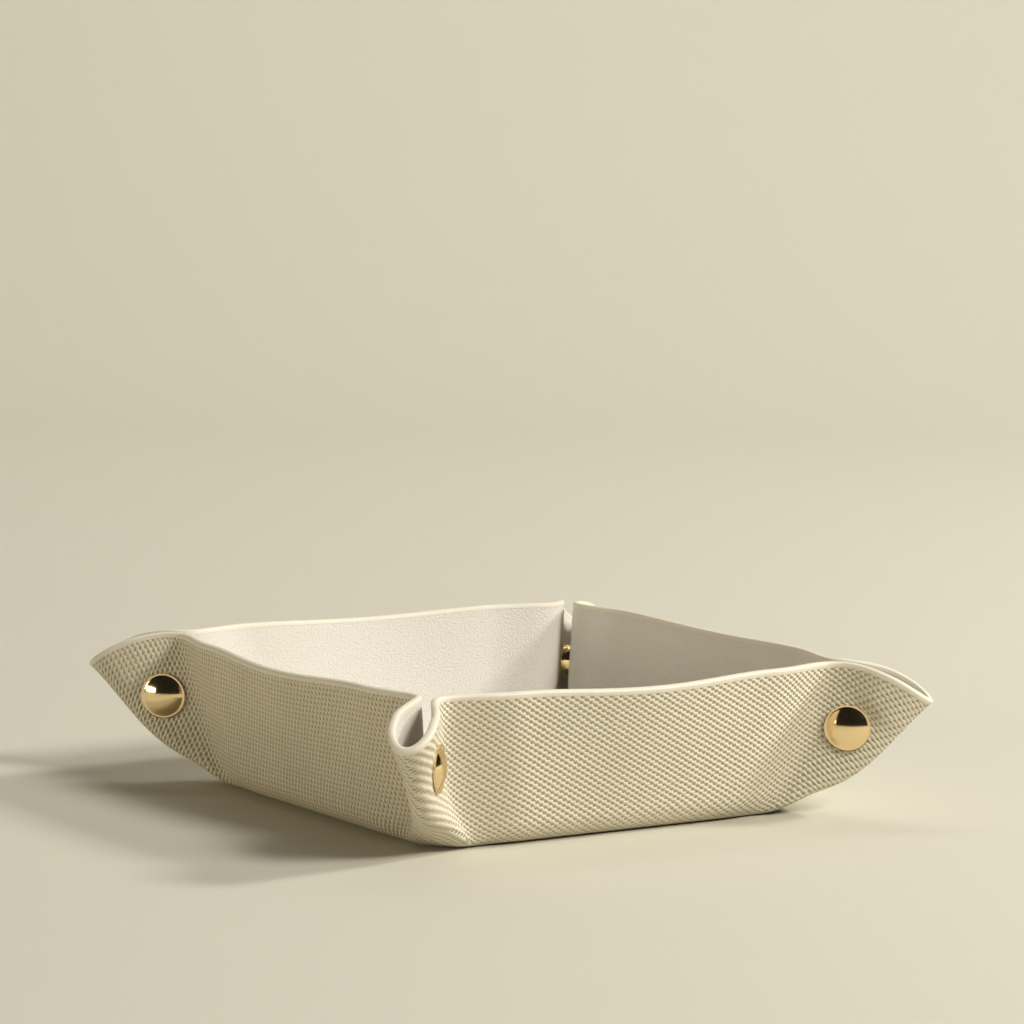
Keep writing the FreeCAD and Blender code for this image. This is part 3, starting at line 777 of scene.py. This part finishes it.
class TRAY_OT_ears(bpy.types.Operator):
    """Pinches the necks and toes of the ears, between a wall and its ear"""

    bl_idname = "tray.ears"
    bl_label = "Ears"

    # Leather beside the flat of an ear that bends as it opens, in metres along the wall
    SOFT_WIDTH = 0.009

    def spans(self, form):
        """Start and end of the bending of the lower and the upper part, in the wall's frame."""
        points = form.wall_grid()[0]
        toe = points[BEND_STEPS, -1]
        crease, rim = (points[row, HALF + NECK_END] for row in (LOOP_ROWS.start, -1))
        soft = np.array([0, self.SOFT_WIDTH, 0])
        found = {}
        for part, first, last in (("toe", toe, crease - soft), ("neck", crease - soft, rim - soft)):
            lean = last - first
            across = unit(np.array([0, lean[2], -lean[1]]))
            found[part] = (first, first + across * ((crease - first) @ across))
        return found

    def execute(self, context):
        spans = self.spans(SheetForm(context.scene.tray_sizes))
        for wall, degrees in WALLS.items():
            for corner, half, side in ends(degrees):
                body = f"{corner}_ear_{half}"
                neck, ear = columns(WALL_STEPS, NECK_END, side), columns(WALL_STEPS, HALF, side)
                pieces = {"neck": [rim_piece(f"rim_{corner}_neck_{half}", neck, degrees)], "toe": []}
                for ply in PLIES:
                    piece = ply_piece(f"{ply}_{corner}_neck_{half}", ply, LOOP_ROWS, neck, degrees)
                    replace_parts(piece, f"{ply}_{body}")
                    pieces["neck"].append(piece)
                    pieces["toe"].append(ply_piece(f"{ply}_{corner}_toe_{half}", ply, TOE_ROWS, ear, degrees))
                for part, span in spans.items():
                    start, end = (turned(point * np.array([1, side, 1]), degrees).tolist() for point in span)
                    for piece in pieces[part]:
                        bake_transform(piece)
        return {"FINISHED"}


class TRAY_OT_loops(bpy.types.Operator):
    """Rolls the open loops at the ends of the ears"""

    bl_idname = "tray.loops"
    bl_label = "Loops"

    # How much of a loop's fullness is left when the tray lies open
    FLAT_SHARE = 0.4

    def execute(self, context):
        form = SheetForm(context.scene.tray_sizes)
        inner_face = form.from_corner(0, form.ear_plane - form.sizes.ply, 0)
        for wall, degrees in WALLS.items():
            for corner, half, side in ends(degrees):
                cols = columns(NECK_END, HALF, side)
                flip = np.array([1, side, 1])
                axis = turned(np.array([1, -1, 0]) * flip / ROOT_TWO, degrees).tolist()
                anchor = turned(inner_face * flip, degrees).tolist()
                body = f"{corner}_ear_{half}"
                pieces = [
                    ply_piece(f"{ply}_{corner}_loop_{half}", ply, LOOP_ROWS, cols, degrees) for ply in PLIES
                ]
                pieces.append(rim_piece(f"rim_{corner}_loop_{half}", cols, degrees))
                for piece in pieces:
                    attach(piece, body)
                    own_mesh(piece)
        return {"FINISHED"}


class TRAY_OT_webs(bpy.types.Operator):
    """Lines the inside of each toe with a web of lining"""

    bl_idname = "tray.webs"
    bl_label = "Corner webs"

    # How much of a web's height is left when the tray lies open
    FLAT_SHARE = 0.12
    # Thickness of a web, and its clearance from the lining, in metres
    WEB, CLEAR = 0.00025, 0.00005
    # Rows that a web leaves free at the base, and rows that it reaches up past the bend
    FREE_ROWS, PAST_ROWS = 3, 3

    def execute(self, context):
        form = SheetForm(context.scene.tray_sizes)
        points, normals, _, flat = form.wall_grid()
        rows = slice(self.FREE_ROWS, BEND_STEPS + self.PAST_ROWS + 1)
        cols = columns(NECK_END, HALF, 1)
        points, normals, flat = (grid[rows, cols] for grid in (points, normals, flat))
        over_diagonal = np.array([[0, 1, 0], [1, 0, 0], [0, 0, 1]])
        points, normals = (
            np.concatenate([grid, grid[:, -2::-1] @ over_diagonal], axis=1) for grid in (points, normals)
        )
        flat = np.concatenate([flat, flat[:, -2::-1, ::-1]], axis=1)
        outer = points - normals * (form.sizes.ply + self.CLEAR)
        inner = outer - normals * self.WEB
        for corner, corner_angle in CORNERS.items():
            degrees = corner_angle - CORNER_TURN
            solid = (turned(grid, degrees) for grid in (outer, inner, normals))
            web = shell(f"lining_{corner}_web", *solid, turned_sheet(flat, degrees))
            paint(web, "lining_leather")
            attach(web, "base")
            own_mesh(web)
        return {"FINISHED"}


class TRAY_OT_studs(bpy.types.Operator):
    """Domes the caps and plates the sockets and studs"""

    bl_idname = "tray.studs"
    bl_label = "Press studs"

    # Turn of a cap's rounded edge from the leather, in radians, and its steps
    EDGE_START, EDGE_END, EDGE_STEPS = 0.3, 1.9, 8
    # Where the dome starts, as a share of its reach, where it ends beside the axis in radians, and its steps
    DOME_SHARE, DOME_TOP, DOME_STEPS = 0.985, 0.02, 24

    def profile(self, sizes):
        """Radius and height pairs of a domed cap."""
        radius, edge, height = sizes.cap_diameter / 2, sizes.cap_edge, sizes.cap_height
        rim = radius - edge
        dome = (rim**2 + (height - edge) ** 2) / (2 * (height - edge))
        reach = math.asin(rim / dome)
        turns = np.linspace(self.EDGE_START, self.EDGE_END, self.EDGE_STEPS)
        domes = np.linspace(reach * self.DOME_SHARE, self.DOME_TOP, self.DOME_STEPS)
        pairs = [(0, 0), (rim, 0)]
        pairs += [(rim + edge * math.sin(t), edge - edge * math.cos(t)) for t in turns]
        pairs += [(dome * math.sin(t), height - dome + dome * math.cos(t)) for t in domes]
        return pairs + [(0, height)]

    def execute(self, context):
        sizes = context.scene.tray_sizes
        profile = self.profile(sizes)
        seat = sizes.neck_gap / 2 + 2 * sizes.ply
        for corner, degrees in CORNERS.items():
            for half, side in (("left_half", 1), ("right_half", -1)):
                outward = Matrix.Rotation(math.radians(-90 * side), 4, "X")
                stand = Matrix.Translation((sizes.stud_reach, side * seat, sizes.stud_height))
                place = Matrix.Rotation(math.radians(degrees), 4, "Z") @ stand @ outward
                piece = lathe(f"dome_{corner}_{half}", profile, place)
                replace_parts(paint(piece, "polished_gold"), f"cap_{corner}_{half}")
                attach(piece, f"{corner}_ear_{half}")
            for node in (f"socket_{corner}", f"stud_{corner}"):
                paint(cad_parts[node], "polished_gold")
        return {"FINISHED"}


class TRAY_OT_stage(bpy.types.Operator):
    """Sets the seamless paper, the lamps and the camera"""

    bl_idname = "tray.stage"
    bl_label = "Stage"

    # Photograph's camera: degrees round from the front, degrees up and metres away
    AZIMUTH, ELEVATION, DISTANCE = 56.74, 10.43, 1.100
    # How far it looks off the centre, and its roll, in degrees
    YAW, PITCH, ROLL = -0.094, -3.902, 0.803
    # Its focal length in frame widths, and the nearest and farthest that it sees, in metres
    FOCAL_WIDTHS, NEAR, FAR = 4.0807, 0.05, 50

    # Each lamp's name, degrees round from the camera, degrees up, metres away, size, watts and tint, and the
    # metres beyond the tray at which it is aimed
    LAMPS = (
        ("key", 100, 36, 1.8, (0.3, 0.3), 19.6, (1.0, 0.965, 0.905), 0.0),
        ("side", 54, 38, 1.8, (0.5, 0.4), 24.4, (1.0, 0.96, 0.88), 0.0),
        ("front", -66, 8, 2.2, (1.2, 0.4), 13.8, (1.0, 0.89, 0.68), 0.0),
        ("top", 172, 62, 2.0, (1.0, 0.8), 2, (1.0, 0.965, 0.90), 0.0),
        ("wash", 180, 62, 1.9, (2.4, 0.6), 13.8, (1.0, 0.97, 0.91), 2.2),
    )
    # The room's faint light
    GLOW_TINT, GLOW_STRENGTH = (1.0, 0.965, 0.89, 1), 0.015

    # The paper: where its level rows lie, the sweep behind them, its top, its half width and its columns
    LEVEL_ROWS = (-2.5, -1.2, 0, 1.0)
    SWEEP_RADIUS, SWEEP_STEPS = 0.7, 16
    PAPER_TOP, PAPER_HALF, PAPER_COLUMNS = 3.0, 3, 9

    @staticmethod
    def bearing(around, up):
        """Direction of a place that is turned round from the front and raised, both in radians."""
        return Vector((math.sin(around) * math.cos(up), -math.cos(around) * math.cos(up), math.sin(up)))

    def camera(self, scene):
        """Puts the camera where the photograph was taken."""
        around, up = math.radians(self.AZIMUTH), math.radians(self.ELEVATION)
        place = self.bearing(around, up)
        ahead = -self.bearing(around + math.radians(self.YAW), up + math.radians(self.PITCH))
        lens = bpy.data.cameras.new("camera")
        lens.lens = lens.sensor_width * self.FOCAL_WIDTHS
        lens.clip_start, lens.clip_end = self.NEAR, self.FAR
        camera = bpy.data.objects.new("camera", lens)
        scene.collection.objects.link(camera)
        look = ahead.to_track_quat("-Z", "Y").to_matrix().to_4x4()
        roll = Matrix.Rotation(math.radians(self.ROLL), 4, "Z")
        camera.matrix_world = Matrix.Translation(place * self.DISTANCE) @ look @ roll
        scene.camera = camera

    def lamp(self, name, turn, elevation, distance, size, power, tint, beyond):
        """A soft box that faces the tray, or a point of the floor beyond it as the camera looks."""
        place = self.bearing(math.radians(self.AZIMUTH + turn), math.radians(elevation)) * distance
        ahead = math.radians(self.AZIMUTH)
        aim = Vector((-math.sin(ahead), math.cos(ahead), 0)) * beyond
        light = bpy.data.lights.new(name, "AREA")
        light.shape = "RECTANGLE"
        light.size, light.size_y = size
        light.energy = power
        light.color = tint
        lamp = bpy.data.objects.new(name, light)
        bpy.context.scene.collection.objects.link(lamp)
        look = (aim - place).to_track_quat("-Z", "Y").to_matrix().to_4x4()
        lamp.matrix_world = Matrix.Translation(place) @ look

    def paper(self):
        """A floor that sweeps up behind the tray, square to the camera."""
        back, sweep = self.LEVEL_ROWS[-1], self.SWEEP_RADIUS
        turns = np.linspace(0, math.pi / 2, self.SWEEP_STEPS)[1:]
        line = [(y, 0.0) for y in self.LEVEL_ROWS]
        line += [(back + sweep * math.sin(t), sweep - sweep * math.cos(t)) for t in turns]
        line += [(back + sweep, self.PAPER_TOP)]
        across = np.linspace(-self.PAPER_HALF, self.PAPER_HALF, self.PAPER_COLUMNS)
        vertices = [(x, y, z) for y, z in line for x in across]
        count = len(across)
        faces = [
            (row * count + k, row * count + k + 1, (row + 1) * count + k + 1, (row + 1) * count + k)
            for row in range(len(line) - 1) for k in range(count - 1)
        ]
        paper = new_mesh("paper", np.array(vertices), faces)
        paper.data.transform(Matrix.Rotation(math.radians(self.AZIMUTH), 4, "Z"))
        paint(paper, "seamless_paper")

    def execute(self, context):
        scene = context.scene
        scene.view_settings.view_transform = "Standard"
        self.paper()
        for row in self.LAMPS:
            self.lamp(*row)
        world = bpy.data.worlds.new("studio")
        scene.world = world
        world.use_nodes = True
        room = Finish(world.node_tree)
        values = {"Color": self.GLOW_TINT, "Strength": self.GLOW_STRENGTH}
        glow = room.node("ShaderNodeBackground", {}, values)
        room.node("ShaderNodeOutputWorld", {}, {"Surface": glow})
        self.camera(scene)
        return {"FINISHED"}


OPERATORS = (
    TRAY_OT_base, TRAY_OT_bends, TRAY_OT_walls, TRAY_OT_ears, TRAY_OT_loops, TRAY_OT_webs, TRAY_OT_studs,
    TRAY_OT_stage,
)


class TRAY_PT_panel(bpy.types.Panel):
    """The tray's sizes, finishes and pieces"""

    bl_idname = "TRAY_PT_panel"
    bl_label = "Valet tray"
    bl_space_type = "VIEW_3D"
    bl_region_type = "UI"
    bl_category = "Tray"

    def draw(self, context):
        for group in (context.scene.tray_sizes, context.scene.tray_finishes):
            box = self.layout.box()
            for name in group.__annotations__:
                box.prop(group, name)
        for operator in OPERATORS:
            self.layout.operator(operator.bl_idname)


CLASSES = (TraySizes, TrayFinishes, *OPERATORS, TRAY_PT_panel)


def register():
    """Adds the classes and the scene's tray properties."""
    for item in CLASSES:
        bpy.utils.register_class(item)
    bpy.types.Scene.tray_sizes = bpy.props.PointerProperty(type=TraySizes)
    bpy.types.Scene.tray_finishes = bpy.props.PointerProperty(type=TrayFinishes)


def unregister():
    """Takes them away again."""
    del bpy.types.Scene.tray_finishes
    del bpy.types.Scene.tray_sizes
    for item in reversed(CLASSES):
        bpy.utils.unregister_class(item)


def main():
    """Makes the pieces in order."""
    register()
    bpy.ops.tray.base()
    bpy.ops.tray.bends()
    bpy.ops.tray.walls()
    bpy.ops.tray.ears()
    bpy.ops.tray.loops()
    bpy.ops.tray.webs()
    bpy.ops.tray.studs()
    bpy.ops.tray.stage()
    bpy.context.view_layer.update()


if __name__ == "__main__":
    main()
